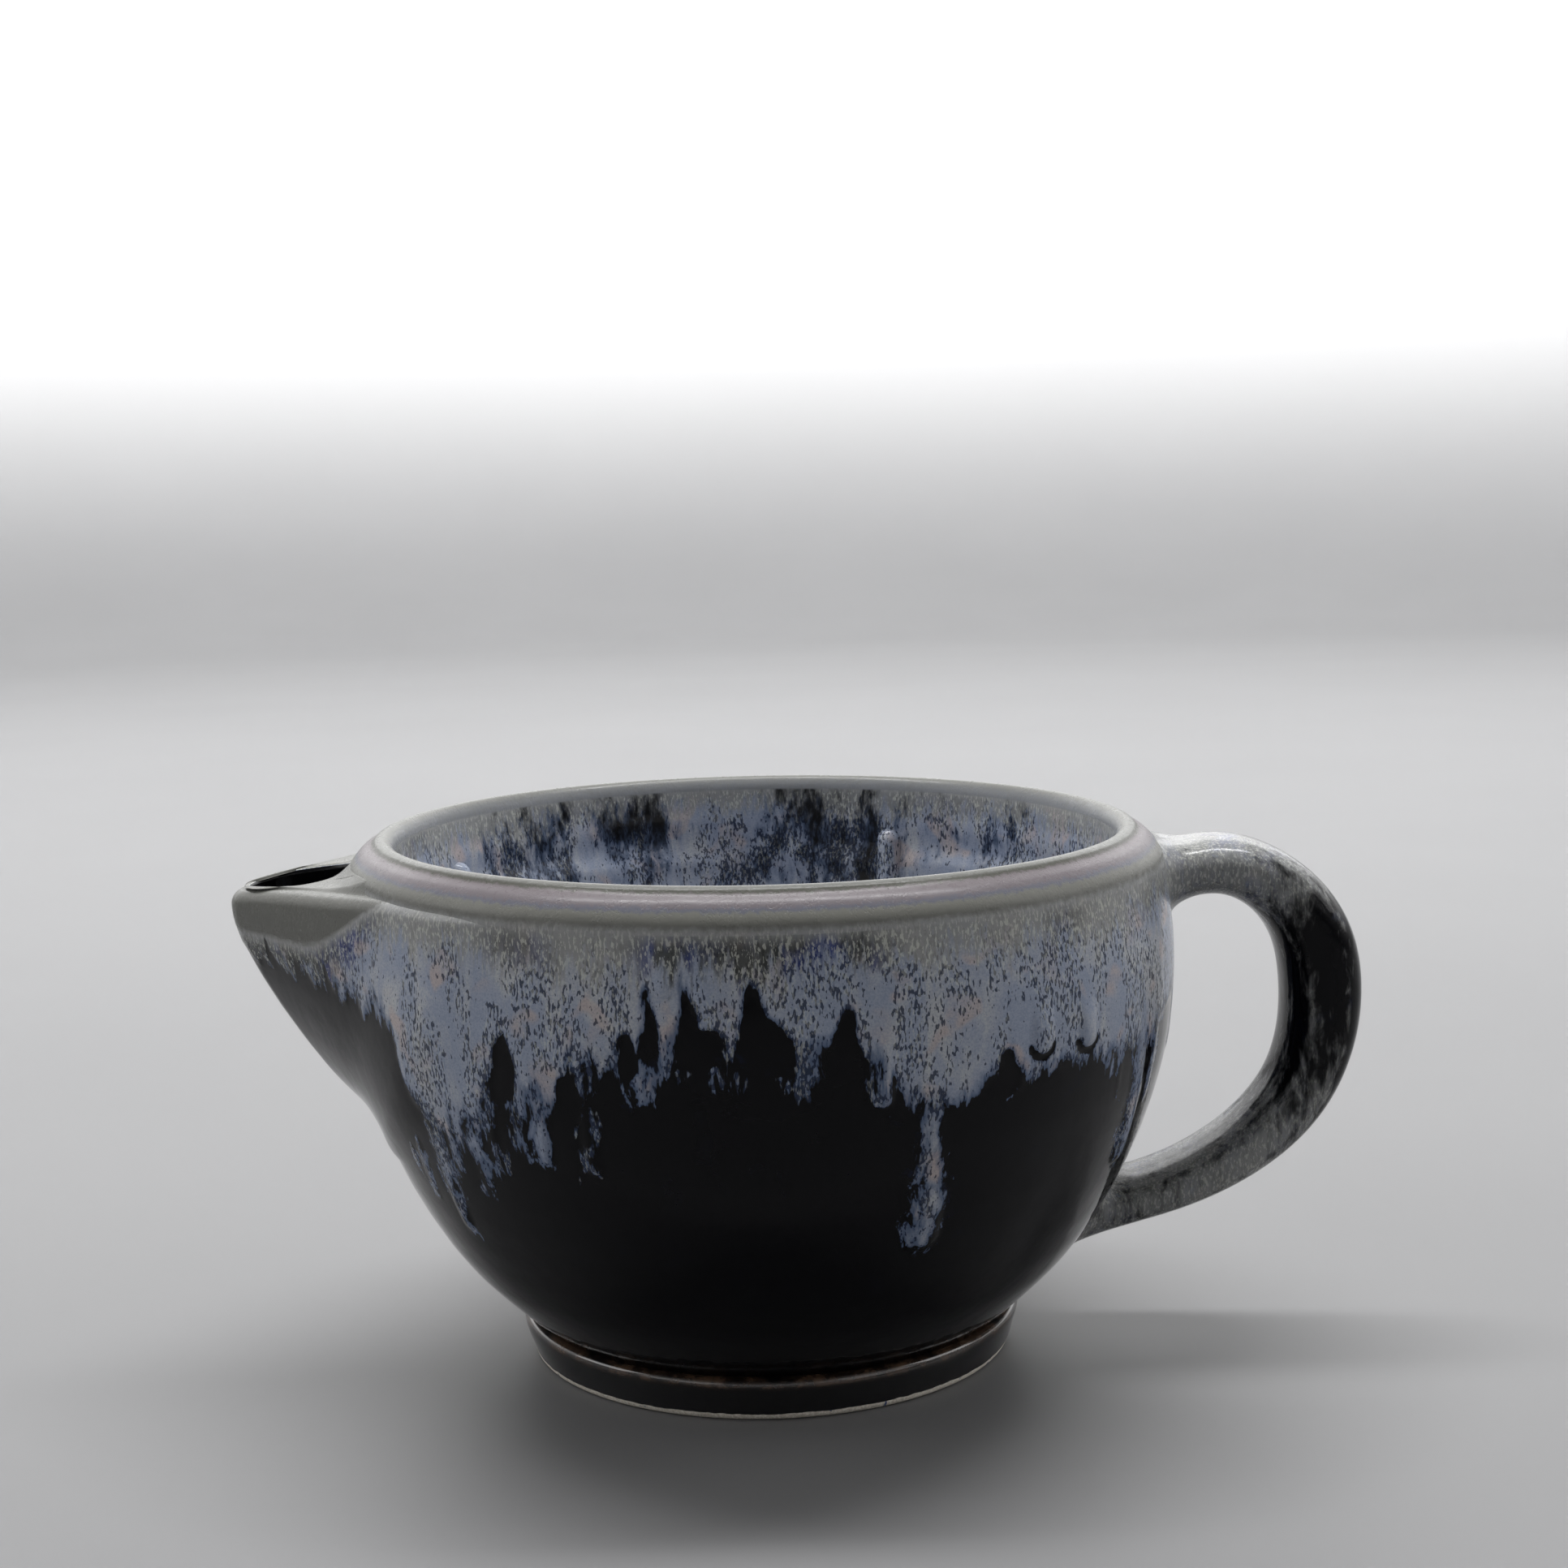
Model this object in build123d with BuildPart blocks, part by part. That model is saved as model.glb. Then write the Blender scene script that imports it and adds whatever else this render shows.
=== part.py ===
from build123d import *
from math import cos, exp, pi, radians, sin
import os

# A hand-thrown stoneware shaving scuttle: a double-walled lathering mug.
# Hot water fills the jacket between an outer bowl and an inner bowl, and goes in and out
# through the beak-shaped spout. Soap is whipped on the ridges of the inner bowl.
# Millimetres, +Z up. The origin is on the bowls' axis, in the plane that the foot stands on.
# The spout points to -X and the handle to +X.

os.makedirs("parts", exist_ok=True)

# Heights
foot_height = 7.5
floor_top = 12.5
seam_height = 85.0
rim_height = 91.5

# Foot ring
foot_standing_radius = 41.3
foot_shoulder_radius = 43.2
foot_inner_radius = 36.0
foot_inner_taper = 1.2
foot_edge_round = 0.7
foot_shoulder_round = 1.2

# Outer bowl: (radius, height) from the foot up to the seam with the inner bowl's flange
outer_profile = [
    (41.8, foot_height),
    (52.6, 18.0),
    (63.1, 35.0),
    (69.1, 53.0),
    (70.4, 68.0),
    (69.4, seam_height),
]
outer_tangents = [(0.75, 0.75), (-0.1, 1.0)]
jacket_floor_radius = 33.0
jacket_profile = [
    (jacket_floor_radius, floor_top),
    (49.3, 21.3),
    (59.0, 36.8),
    (64.7, 53.8),
    (66.0, 68.0),
    (66.0, seam_height),
]
jacket_tangents = [(0.0, -1.0), (-1.0, 0.0)]

# Inner bowl: crest of the rim, sloping flange, and the lathering cavity
crest_radius = 63.3
flange_edge = (67.9, 88.2)
flange_round = (69.05, 86.9)
lip_inside = (61.3, 89.2)
lip_round = (61.9, 90.9)
rim_tangents = [(-0.75, 0.55), (-0.25, -1.0)]
cavity_depth_centre = 36.0
cavity_profile = [
    lip_inside,
    (60.1, 78.0),
    (56.4, 63.0),
    (47.5, 48.0),
    (30.0, 38.5),
    (0.0, cavity_depth_centre),
]
cavity_tangents = [(-0.1, -1.0), (-1.0, 0.0)]
inner_back_profile = [
    (64.8, seam_height),
    (64.0, 76.0),
    (60.3, 61.0),
    (50.6, 44.8),
    (31.5, 34.1),
    (0.0, 31.5),
]
inner_back_tangents = [(1.0, 0.0), (0.1, 1.0)]

# Lathering ridges on the inner wall
ridge_count = 4
ridge_first_azimuth = 65.0
ridge_radius = 2.4
ridge_path = [(61.1, 81.9), (56.9, 63.0), (48.0, 48.0)]

# Spout: height, reach of the tip from the axis, and radius of the rounded tip
spout_sections = [
    (39.0, 66.3, 24.0),
    (43.0, 69.6, 20.0),
    (48.0, 74.0, 16.0),
    (55.0, 79.6, 12.0),
    (62.0, 84.5, 9.5),
    (70.0, 88.9, 8.5),
    (79.0, 91.4, 8.0),
    (86.0, 90.6, 7.5),
]
spout_root_inset = 1.2
# Spout channel: height, reach of its tip, tip radius, half width where it meets the bowl
channel_sections = [
    (49.5, 69.5, 4.0, 12.0),
    (60.0, 78.5, 4.5, 21.0),
    (70.0, 84.3, 5.0, 25.0),
    (86.0, 87.2, 5.0, 26.0),
]
channel_root_reach = 60.0
channel_corner_radius = 3.0
spout_top_centre = (-78.0, 0.0, 82.6)
spout_top_rise = 0.12
spout_top_thickness = 4.0
pour_opening_centre = -78.4
pour_opening_length = 18.8
pour_opening_width = 19.6
pour_opening_cut_depth = 16.0
window_height = 66.0
window_half_width = 14.0
window_half_height = 12.0
window_outer_reach = 74.0
window_depth = 16.0

# Handle: centre line from the rim round to the lower bowl, as (reach, height)
handle_line = [
    (63.0, 80.6),
    (71.0, 81.8),
    (79.2, 82.8),
    (88.2, 79.0),
    (94.8, 70.1),
    (96.8, 60.0),
    (95.6, 51.2),
    (91.6, 41.9),
    (84.9, 34.4),
    (75.0, 27.9),
    (65.0, 24.6),
    (56.0, 22.6),
]
handle_section_count = 21
handle_thin = 9.4
handle_thick = 13.5
handle_thickest_place = 0.42
handle_lower_taper = 2.8
handle_width = 18.5
root_extra_thickness = 9.5
root_extra_width = 6.5
root_flare_length = 0.075


def outer_radius(height):
    """Radius of the outer bowl at a height between the foot and the seam."""
    for low, high in zip(outer_profile, outer_profile[1:]):
        if low[1] <= height <= high[1]:
            share = (height - low[1]) / (high[1] - low[1])
            return low[0] + share * (high[0] - low[0])


def rim_curve():
    """Draw the rim in the open line: shoulder, sloping flange, crest and inner lip."""
    ThreePointArc(outer_profile[-1], flange_round, flange_edge)
    Spline(flange_edge, (crest_radius, rim_height), lip_round, lip_inside, tangents=rim_tangents)


# The whole mug below the rim as if it were solid: what the spout and the handle are cut back to
with BuildSketch(Plane.YZ) as solid_section:
    with BuildLine():
        Line((0, foot_height), outer_profile[0])
        Spline(*outer_profile, tangents=outer_tangents)
        rim_curve()
        Line(lip_inside, (0, lip_inside[1]))
        Line((0, lip_inside[1]), (0, foot_height))
    make_face()

# The space that the lather is whipped in, up to the lip
with BuildSketch(Plane.YZ) as cavity_section:
    with BuildLine():
        Spline(*cavity_profile, tangents=cavity_tangents)
        Line(cavity_profile[-1], (0, lip_inside[1]))
        Line((0, lip_inside[1]), lip_inside)
    make_face()

with BuildPart() as foot_ring:
    with BuildSketch(Plane.YZ):
        with BuildLine():
            Polyline(
                (foot_inner_radius, foot_height),
                (foot_inner_radius + foot_inner_taper, 0),
                (foot_standing_radius, 0),
                (foot_shoulder_radius, foot_height),
                close=True,
            )
        make_face()
    revolve(axis=Axis.Z)
    standing_edges = foot_ring.edges().group_by(Axis.Z)[0]
    fillet(standing_edges, foot_edge_round)
    shoulder_edge = foot_ring.edges().group_by(Axis.Z)[-1].sort_by(SortBy.LENGTH)[-1]
    fillet(shoulder_edge, foot_shoulder_round)
foot_ring.part.label = "foot_ring"

with BuildPart() as outer_bowl:
    with BuildSketch(Plane.YZ):
        with BuildLine():
            Line((0, foot_height), outer_profile[0])
            Spline(*outer_profile, tangents=outer_tangents)
            Line(outer_profile[-1], jacket_profile[-1])
            Spline(*reversed(jacket_profile), tangents=jacket_tangents)
            Line(jacket_profile[0], (0, floor_top))
            Line((0, floor_top), (0, foot_height))
        make_face()
    revolve(axis=Axis.Z)
    with BuildSketch(Plane.YZ.offset(-window_outer_reach)):
        with Locations((0, window_height)):
            Ellipse(window_half_width, window_half_height)
    extrude(amount=window_depth, mode=Mode.SUBTRACT)
outer_bowl.part.label = "outer_bowl"

with BuildPart() as inner_bowl:
    with BuildSketch(Plane.YZ):
        with BuildLine():
            rim_curve()
            Spline(*cavity_profile, tangents=cavity_tangents)
            Line(cavity_profile[-1], inner_back_profile[-1])
            Spline(*reversed(inner_back_profile), tangents=inner_back_tangents)
            Line(inner_back_profile[0], outer_profile[-1])
        make_face()
    revolve(axis=Axis.Z)
inner_bowl.part.label = "inner_bowl"


def spout_top_plane(drop):
    """Sloping plane of the spout's top, lowered by a distance along its normal."""
    along_x = (1.0, 0.0, spout_top_rise)
    normal = Vector(-spout_top_rise, 0.0, 1.0).normalized()
    return Plane(origin=Vector(*spout_top_centre) - normal * drop, x_dir=along_x, z_dir=normal)


def beak():
    """Loft the outside of the spout: a rounded tip joined by flanks to the bowl's own round."""
    outlines = []
    for height, reach, tip_radius in spout_sections:
        with BuildSketch(Plane.XY.offset(height)) as outline:
            Circle(outer_radius(min(height, seam_height)) - spout_root_inset)
            with Locations((tip_radius - reach, 0)):
                Circle(tip_radius)
            make_hull()
        outlines.append(outline.sketch)
    loft(outlines)


def channel():
    """Cut the water channel inside the spout."""
    outlines = []
    for height, reach, tip_radius, half_width in channel_sections:
        with BuildSketch(Plane.XY.offset(height)) as outline:
            with Locations((tip_radius - reach, 0)):
                Circle(tip_radius)
            with Locations((-channel_root_reach, half_width), (-channel_root_reach, -half_width)):
                Circle(channel_corner_radius)
            make_hull()
        outlines.append(outline.sketch)
    loft(outlines, mode=Mode.SUBTRACT)


with BuildPart() as spout:
    beak()
    revolve(solid_section.sketch, axis=Axis.Z, mode=Mode.SUBTRACT)
    split(bisect_by=spout_top_plane(spout_top_thickness), keep=Keep.BOTTOM)
    channel()
spout.part.label = "spout"

with BuildPart() as spout_top:
    beak()
    revolve(solid_section.sketch, axis=Axis.Z, mode=Mode.SUBTRACT)
    split(bisect_by=spout_top_plane(spout_top_thickness), keep=Keep.TOP)
    split(bisect_by=spout_top_plane(0), keep=Keep.BOTTOM)
    with BuildSketch(Plane.XY.offset(seam_height + spout_top_thickness)):
        with Locations((pour_opening_centre, 0)):
            Ellipse(pour_opening_length / 2, pour_opening_width / 2)
    extrude(amount=-pour_opening_cut_depth, mode=Mode.SUBTRACT)
spout_top.part.label = "spout_top"


def handle_section_size(place):
    """Thickness and width of the strap at a place along it, flared where it leaves the rim."""
    growth = sin(pi / 2 * min(place / handle_thickest_place, 1.0)) ** 2
    taper = handle_lower_taper * max(place - handle_thickest_place, 0.0)
    flare = exp(-((place / root_flare_length) ** 2))
    thickness = handle_thin + (handle_thick - handle_thin) * growth - taper
    return thickness + root_extra_thickness * flare, handle_width + root_extra_width * flare


with BuildPart() as handle:
    with BuildLine(Plane.XZ) as handle_path:
        Spline(*handle_line)
    for number in range(handle_section_count):
        place = number / (handle_section_count - 1)
        thickness, width = handle_section_size(place)
        centre = handle_path.line @ place
        along = handle_path.line % place
        with BuildSketch(Plane(origin=centre, x_dir=(0, 1, 0), z_dir=along)):
            Ellipse(width / 2, thickness / 2)
    loft()
    revolve(solid_section.sketch, axis=Axis.Z, mode=Mode.SUBTRACT)
handle.part.label = "handle"


def lather_ridge(azimuth):
    """One raised rib of clay that runs down the inner wall, at an angle about the axis."""
    outward = (cos(radians(azimuth)), sin(radians(azimuth)), 0)
    sideways = (sin(radians(azimuth)), -cos(radians(azimuth)), 0)
    with BuildPart() as ridge:
        with BuildLine(Plane(origin=(0, 0, 0), x_dir=outward, z_dir=sideways)) as run:
            Spline(*ridge_path)
        with BuildSketch(Plane(origin=run.line @ 0, z_dir=run.line % 0)):
            Circle(ridge_radius)
        sweep(path=run.line)
        with Locations(run.line @ 0, run.line @ 1):
            Sphere(ridge_radius)
        revolve(cavity_section.sketch, axis=Axis.Z, mode=Mode.INTERSECT)
    return ridge.part


for piece in (foot_ring, outer_bowl, inner_bowl, spout, spout_top, handle):
    export_step(piece.part, f"parts/{piece.part.label}.step")

for number in range(ridge_count):
    ridge_part = lather_ridge(ridge_first_azimuth + number * 360 / ridge_count)
    ridge_part.label = f"lather_ridge_{number + 1}"
    export_step(ridge_part, f"parts/{ridge_part.label}.step")
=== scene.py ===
"""Glazed stoneware shaving mug: its visual pieces, glaze and studio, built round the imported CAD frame.

Shapes are worked out in millimetres in the frame's own axes: +Z is up, the spout points to -X and the handle
to +X. They become metres when a mesh is made. Azimuths are degrees about the bowl's axis, 0 at the handle
and -90 in front.
"""

import math

import bpy
import numpy as np
from mathutils import Matrix, Vector


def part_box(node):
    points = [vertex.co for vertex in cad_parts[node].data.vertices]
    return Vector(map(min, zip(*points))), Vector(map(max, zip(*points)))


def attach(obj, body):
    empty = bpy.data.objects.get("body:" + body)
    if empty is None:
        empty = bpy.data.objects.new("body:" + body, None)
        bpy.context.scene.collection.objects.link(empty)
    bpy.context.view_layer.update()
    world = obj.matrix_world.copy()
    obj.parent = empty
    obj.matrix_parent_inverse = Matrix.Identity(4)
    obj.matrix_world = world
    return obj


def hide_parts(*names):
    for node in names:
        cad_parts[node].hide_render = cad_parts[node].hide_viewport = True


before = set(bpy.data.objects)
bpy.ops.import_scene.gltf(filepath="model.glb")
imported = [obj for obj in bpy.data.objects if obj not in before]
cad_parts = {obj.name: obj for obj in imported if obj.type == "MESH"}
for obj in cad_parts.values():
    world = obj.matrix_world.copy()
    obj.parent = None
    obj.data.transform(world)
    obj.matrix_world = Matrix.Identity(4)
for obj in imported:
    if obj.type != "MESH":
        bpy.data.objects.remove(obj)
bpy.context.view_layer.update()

MM = 0.001
rng = np.random.default_rng(7)

# ---------------------------------------------------------------- sizes, mm
foot_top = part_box("foot_ring")[1].z / MM
bowl_points = 720  # round each bowl
hidden_points = 30  # up the hidden back of the lather bowl

outer_profile = [(41.8, 7.5), (52.6, 18), (63.1, 35), (69.1, 53), (70.4, 68), (69.4, 85)]
jacket_profile = [(66, 85), (66, 68), (64.7, 53.8), (59, 36.8), (49.3, 21.3), (33, 12.5)]
floor_profile = [(0, 36), (15, 36.7), (30, 38.5), (47.5, 48), (56.4, 63), (59.5, 75.2)]
upper_wall_profile = [(59.5, 75.2), (60.3, 77.6), (60.75, 82), (61.2, 87.5)]
lip_profile = [(61.2, 87.5), (61.45, 89.3), (62.2, 90.75), (63.4, 91.4), (64.6, 91.0)]
band_profile = [(64.6, 91.0), (65.2, 90.45), (66.6, 89.6), (67.9, 88.35), (68.95, 86.9), (69.4, 85)]
inner_back_profile = [(64.8, 85), (64, 76), (60.3, 61), (50.6, 44.8), (31.5, 34.1)]
foot_profile = [(36.0, 7.5), (36.0, 1.6), (36.8, 0.35), (38.2, 0.0), (40.2, 0.0), (41.3, 0.45), (41.75, 1.4)]
foot_shoulder = [(41.75, 1.4), (42.2, 3.0), (43.0, 5.2), (43.2, 6.4), (42.9, 7.1), (41.8, 7.5)]

spout_reach = [(36, 62.0), (38, 64.4), (39.9, 66.2), (43.3, 68.9), (47.6, 73.1), (54.7, 79.0), (61.7, 83.8),
               (70.4, 88.5), (75, 90.4), (79, 91.15), (83, 90.9)]
spout_tip_radius = [(36, 26), (43, 20), (48, 16), (55, 12), (62, 9.5), (70, 8.5), (79, 8), (86, 7.5)]
spout_base, spout_half_turn, outline_height = 33.0, 58, 79.0
spout_columns, hidden_columns, skin_rows = 280, 60, 170
roll_rows, top_rows, lip_rows, channel_rows = 13, 33, 9, 25
edge_round, pour_lip, channel_depth = 2.6, 1.0, 30
pour_centre, pour_length, pour_width = -78.3, 9.3, 9.7
spout_top_tip, spout_top_rise, spout_top_climb = 82.0, 0.19, 3.5
flank_fall = 45
melt_width = 2.6

handle_line = [(58, 79.6), (63, 80.4), (71, 81.6), (79.2, 82.4), (88.2, 78.7), (94.8, 70.1), (96.75, 60),
               (96.0, 51.0), (92.2, 41.4), (85.4, 33.8), (75.4, 27.5), (65.2, 23.8), (56, 21.9), (50, 21.0)]
handle_width = 18.5
handle_fillet, fillet_steps, fillet_ceiling = 7.0, 22, 88.4
wall_inset = 0.25

# The thrown rim sinks by so much at its middle, leans by so much per mm of Y and of X, and has shifted to -X.
rim_sink, rim_lean_y, rim_lean_x, rim_shift = 0.72, 0.0103, 0.004, 0.7

ridge_count, first_ridge, ridge_half_width = 4, 65, 2.45
ridge_line = [(61.35, 81.4), (60.3, 76), (57.0, 63), (48.0, 48)]


# ---------------------------------------------------------------- curves and meshes
def spline(points, count):
    """Evenly spaced points on a natural cubic spline through the given ones."""
    p = np.asarray(points, float)
    t = np.concatenate([[0], np.cumsum(np.linalg.norm(np.diff(p, axis=0), axis=1))])
    h = np.diff(t)
    system, right = np.eye(len(t)), np.zeros(p.shape)
    for i in range(1, len(t) - 1):
        system[i, i - 1:i + 2] = h[i - 1], 2 * (h[i - 1] + h[i]), h[i]
        right[i] = 6 * ((p[i + 1] - p[i]) / h[i] - (p[i] - p[i - 1]) / h[i - 1])
    bend = np.linalg.solve(system, right)
    s = np.linspace(0, t[-1], count)
    k = np.clip(np.searchsorted(t, s) - 1, 0, len(t) - 2)
    before, after, span = (t[k + 1] - s)[:, None], (s - t[k])[:, None], h[k][:, None]
    cubic = (bend[k] * before**3 + bend[k + 1] * after**3) / (6 * span)
    from_below = (p[k] / span - bend[k] * span / 6) * before
    from_above = (p[k + 1] / span - bend[k + 1] * span / 6) * after
    return cubic + from_below + from_above


def along(table, at):
    """The second value of a list of pairs where the first is `at`, read off a smooth curve through them."""
    curve = spline(table, 400)
    return np.interp(at, curve[:, 0], curve[:, 1])


def ease(x, low, high):
    """0 below low, 1 above high and smooth between."""
    t = np.clip((x - low) / (high - low), 0, 1)
    return t * t * (3 - 2 * t)


outer_curve = np.concatenate([spline(outer_profile, 600), spline(band_profile[::-1], 120)[1:]])


def wall_radius(z):
    """Outer radius of the bowl at a height."""
    return np.interp(z, outer_curve[:, 1], outer_curve[:, 0])


def settle(p):
    """The slight lean of the thrown rim: the pot leans back to front a little above its middle."""
    lean = -rim_sink + rim_lean_y * p[..., 1] - rim_lean_x * p[..., 0]
    out = p.copy()
    out[..., 2] += ease(p[..., 2], 55, 90) * lean
    on_bowl = 1 - ease(np.hypot(p[..., 0], p[..., 1]), 69.5, 73)
    out[..., 0] -= rim_shift * ease(p[..., 2], 72, 90) * on_bowl
    return out


def mark_sharp(mesh, index, rings):
    """Give the edges along some of a mesh's rings a hard shading edge."""
    ring_of = np.full(len(mesh.vertices), -1)
    for k in rings:
        ring_of[index[k]] = k
    pairs = np.zeros(len(mesh.edges) * 2, int)
    mesh.edges.foreach_get("vertices", pairs)
    pairs = ring_of[pairs.reshape(-1, 2)]
    along_a_ring = (pairs[:, 0] >= 0) & (pairs[:, 0] == pairs[:, 1])
    mesh.attributes.new("sharp_edge", "BOOLEAN", "EDGE").data.foreach_set("value", along_a_ring.tolist())


def mesh_piece(name, rings, material, stands_for, values, loop=False, sharp=()):
    """A closed piece from rings of points. It has a point at each end, or joins its last ring to its first.

    stands_for names the CAD nodes that it replaces, values are {attribute: one number per ring point}, and
    the rings in sharp keep a hard shading edge.
    """
    count, around = rings.shape[:2]
    points = rings.reshape(-1, 3)
    index = np.arange(count * around).reshape(count, around)
    upper = np.roll(index, -1, axis=0) if loop else index[1:]
    lower = index if loop else index[:-1]
    quads = np.stack([lower, np.roll(lower, -1, 1), np.roll(upper, -1, 1), upper], -1).reshape(-1, 4)
    faces = quads.tolist()
    if not loop:
        ends = np.array([rings[0].mean(0), rings[-1].mean(0)])
        points = np.concatenate([points, ends])
        first, last = count * around, count * around + 1
        faces += [(first, b, a) for a, b in zip(index[0], np.roll(index[0], -1))]
        faces += [(last, a, b) for a, b in zip(index[-1], np.roll(index[-1], -1))]
    a, b, c = (points[quads[:, i]] for i in (0, 1, 2))
    inside_out = np.einsum("ij,ij->i", a - points.mean(0), np.cross(b - a, c - a)).sum() < 0
    if inside_out:
        faces = [tuple(reversed(f)) for f in faces]
    mesh = bpy.data.meshes.new(name)
    mesh.from_pydata((settle(points) * MM).tolist(), [], faces)
    mesh.update()
    mesh.shade_smooth()
    if sharp:
        mark_sharp(mesh, index, sharp)
    for key, numbers in values.items():
        numbers = np.asarray(numbers, float)
        at_ends = [] if loop else [numbers[0].mean(), numbers[-1].mean()]
        flat = np.concatenate([numbers.ravel(), at_ends])
        mesh.attributes.new(key, "FLOAT", "POINT").data.foreach_set("value", flat)
    mesh.materials.append(material)
    piece = bpy.data.objects.new(name, mesh)
    bpy.context.scene.collection.objects.link(piece)
    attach(piece, "root")
    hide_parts(*stands_for)
    return piece


def revolve(profile, around=bowl_points):
    """Rings of a profile of (radius, height) points turned about the axis."""
    angle = np.linspace(-math.pi, math.pi, around, endpoint=False)
    r, z = np.asarray(profile, float).T
    x, y = np.outer(r, np.cos(angle)), np.outer(r, np.sin(angle))
    return np.stack([x, y, np.outer(z, np.ones(around))], -1)


def azimuth(p):
    """Degrees about the bowl's axis."""
    return np.degrees(np.arctan2(p[..., 1], p[..., 0]))


# ---------------------------------------------------------------- how the light glaze has run
# Lower edge of the light overglaze round the bowl: (azimuth, height).
run_edge = [
    (-180, 66), (-160, 66.5), (-151, 65), (-146, 61), (-144.5, 56), (-141, 52), (-136, 49), (-133, 50),
    (-129, 53), (-126, 60), (-123.7, 65), (-121, 59), (-117, 57), (-114.5, 62), (-110.5, 63), (-108, 66),
    (-104, 67), (-100, 67), (-98, 69), (-95, 67), (-91.5, 70.5), (-89, 69.5), (-87, 67), (-84, 65), (-82, 67),
    (-80, 69), (-78, 65), (-75, 62), (-72, 57), (-66, 55), (-62.5, 58), (-59.3, 62.5), (-57, 58.5),
    (-48, 58.8), (-42, 58), (-37, 59), (-33, 57), (-27, 59), (-18, 62), (0, 63), (22, 58), (45, 52),
    (63, 60), (78, 54), (95, 49), (110, 57), (128, 52), (146, 60), (162, 66), (180, 66),
]

# Runs below that edge: (azimuth, tip height, half width at the tip, half width at the neck, start height).
runs = [
    (-148, 41, 1.0, 2.6, 60), (-145.5, 36, 1.0, 2.0, 58), (-139.7, 31.5, 1.4, 2.8, 54),
    (-135.5, 43, 0.9, 1.9, 53), (-130.4, 41, 1.2, 2.5, 54), (-127.3, 46, 0.8, 1.6, 56),
    (-122, 48.5, 0.8, 1.7, 62), (-119, 47.3, 1.1, 2.2, 60), (-112.2, 46.5, 1.2, 1.5, 64),
    (-105.3, 58.5, 1.5, 2.2, 68), (-101.5, 62.3, 1.1, 2.2, 69), (-95, 61, 1.3, 2.3, 70),
    (-85, 60.3, 2.3, 3.4, 69), (-76, 57, 2.1, 2.5, 72), (-69, 32, 3.1, 2.0, 62),
    (-57.4, 56.5, 1.2, 1.7, 62), (-53.6, 59, 1.6, 2.2, 64), (-45.3, 59, 1.8, 2.4, 64),
    (-40, 57, 1.5, 2.4, 64), (-36.8, 50.5, 0.6, 1.0, 60), (-30.4, 37.5, 2.3, 3.2, 62),
    (-25.5, 47, 1.2, 2.2, 62),
]

# The runs round the back are spread evenly and vary at random.
back_runs, back_start, back_step, back_neck_height = 46, -12, 4.2, 64
for k in range(back_runs):
    run_azimuth = back_start + k * back_step + rng.uniform(-1.2, 1.2)
    tip_height = rng.uniform(34, 54)
    tip_half_width = rng.uniform(0.8, 2.2)
    neck_half_width = rng.uniform(1.4, 2.6)
    runs.append((run_azimuth, tip_height, tip_half_width, neck_half_width, back_neck_height))

# Long bare gaps in the overglaze: (azimuth, low end, high end, half width).
gaps = [
    (-132.2, 74, 80.5, 0.9), (-134, 60, 66, 0.4), (-124, 58, 68, 0.9), (-115, 55, 62, 0.8),
    (-103.8, 66, 79, 0.7), (-99.3, 69, 83, 0.9), (-97.5, 65, 70.5, 1.4), (-91.2, 66, 80, 1.0),
    (-88.6, 64, 72, 1.0), (-80.3, 62, 74, 0.8), (-106.5, 63, 70, 0.5), (-58.9, 57, 64, 0.6),
    (20, 60, 74, 1.1), (60, 58, 76, 0.8), (84, 56, 70, 1.3), (118, 58, 78, 0.9), (150, 62, 74, 1.0),
]

# Thick beads of glaze that stand proud: (azimuth, tip height, half width, length, thickness).
# The first three have a painted shadow under them: a dark crescent drawn as bare dark glaze.
beads = [
    (-76.2, 57.2, 2.1, 12, 0.75), (-53.6, 62.3, 2.0, 9, 0.8), (-45.3, 61.6, 1.9, 8, 0.8),
    (-69, 32.6, 2.9, 10, 0.8), (-101.8, 75.5, 1.6, 7, 0.45), (-97, 72.5, 1.9, 8, 0.5),
    (-84, 66.5, 2.2, 9, 0.4), (-30.2, 38, 2.4, 14, 0.6), (-139.7, 32.5, 1.4, 10, 0.3),
    (-112.2, 47, 1.2, 9, 0.35), (-119, 48, 1.2, 8, 0.3), (38, 49, 2.3, 12, 0.7), (96, 47, 2.6, 12, 0.7),
    (131, 51, 2.0, 10, 0.6),
]
beads_with_painted_shadow = beads[:3]


def arc_between(angle, centre, radius):
    """Distance round the bowl, in mm, between azimuths in degrees."""
    return np.radians((angle - centre + 180) % 360 - 180) * radius


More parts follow.
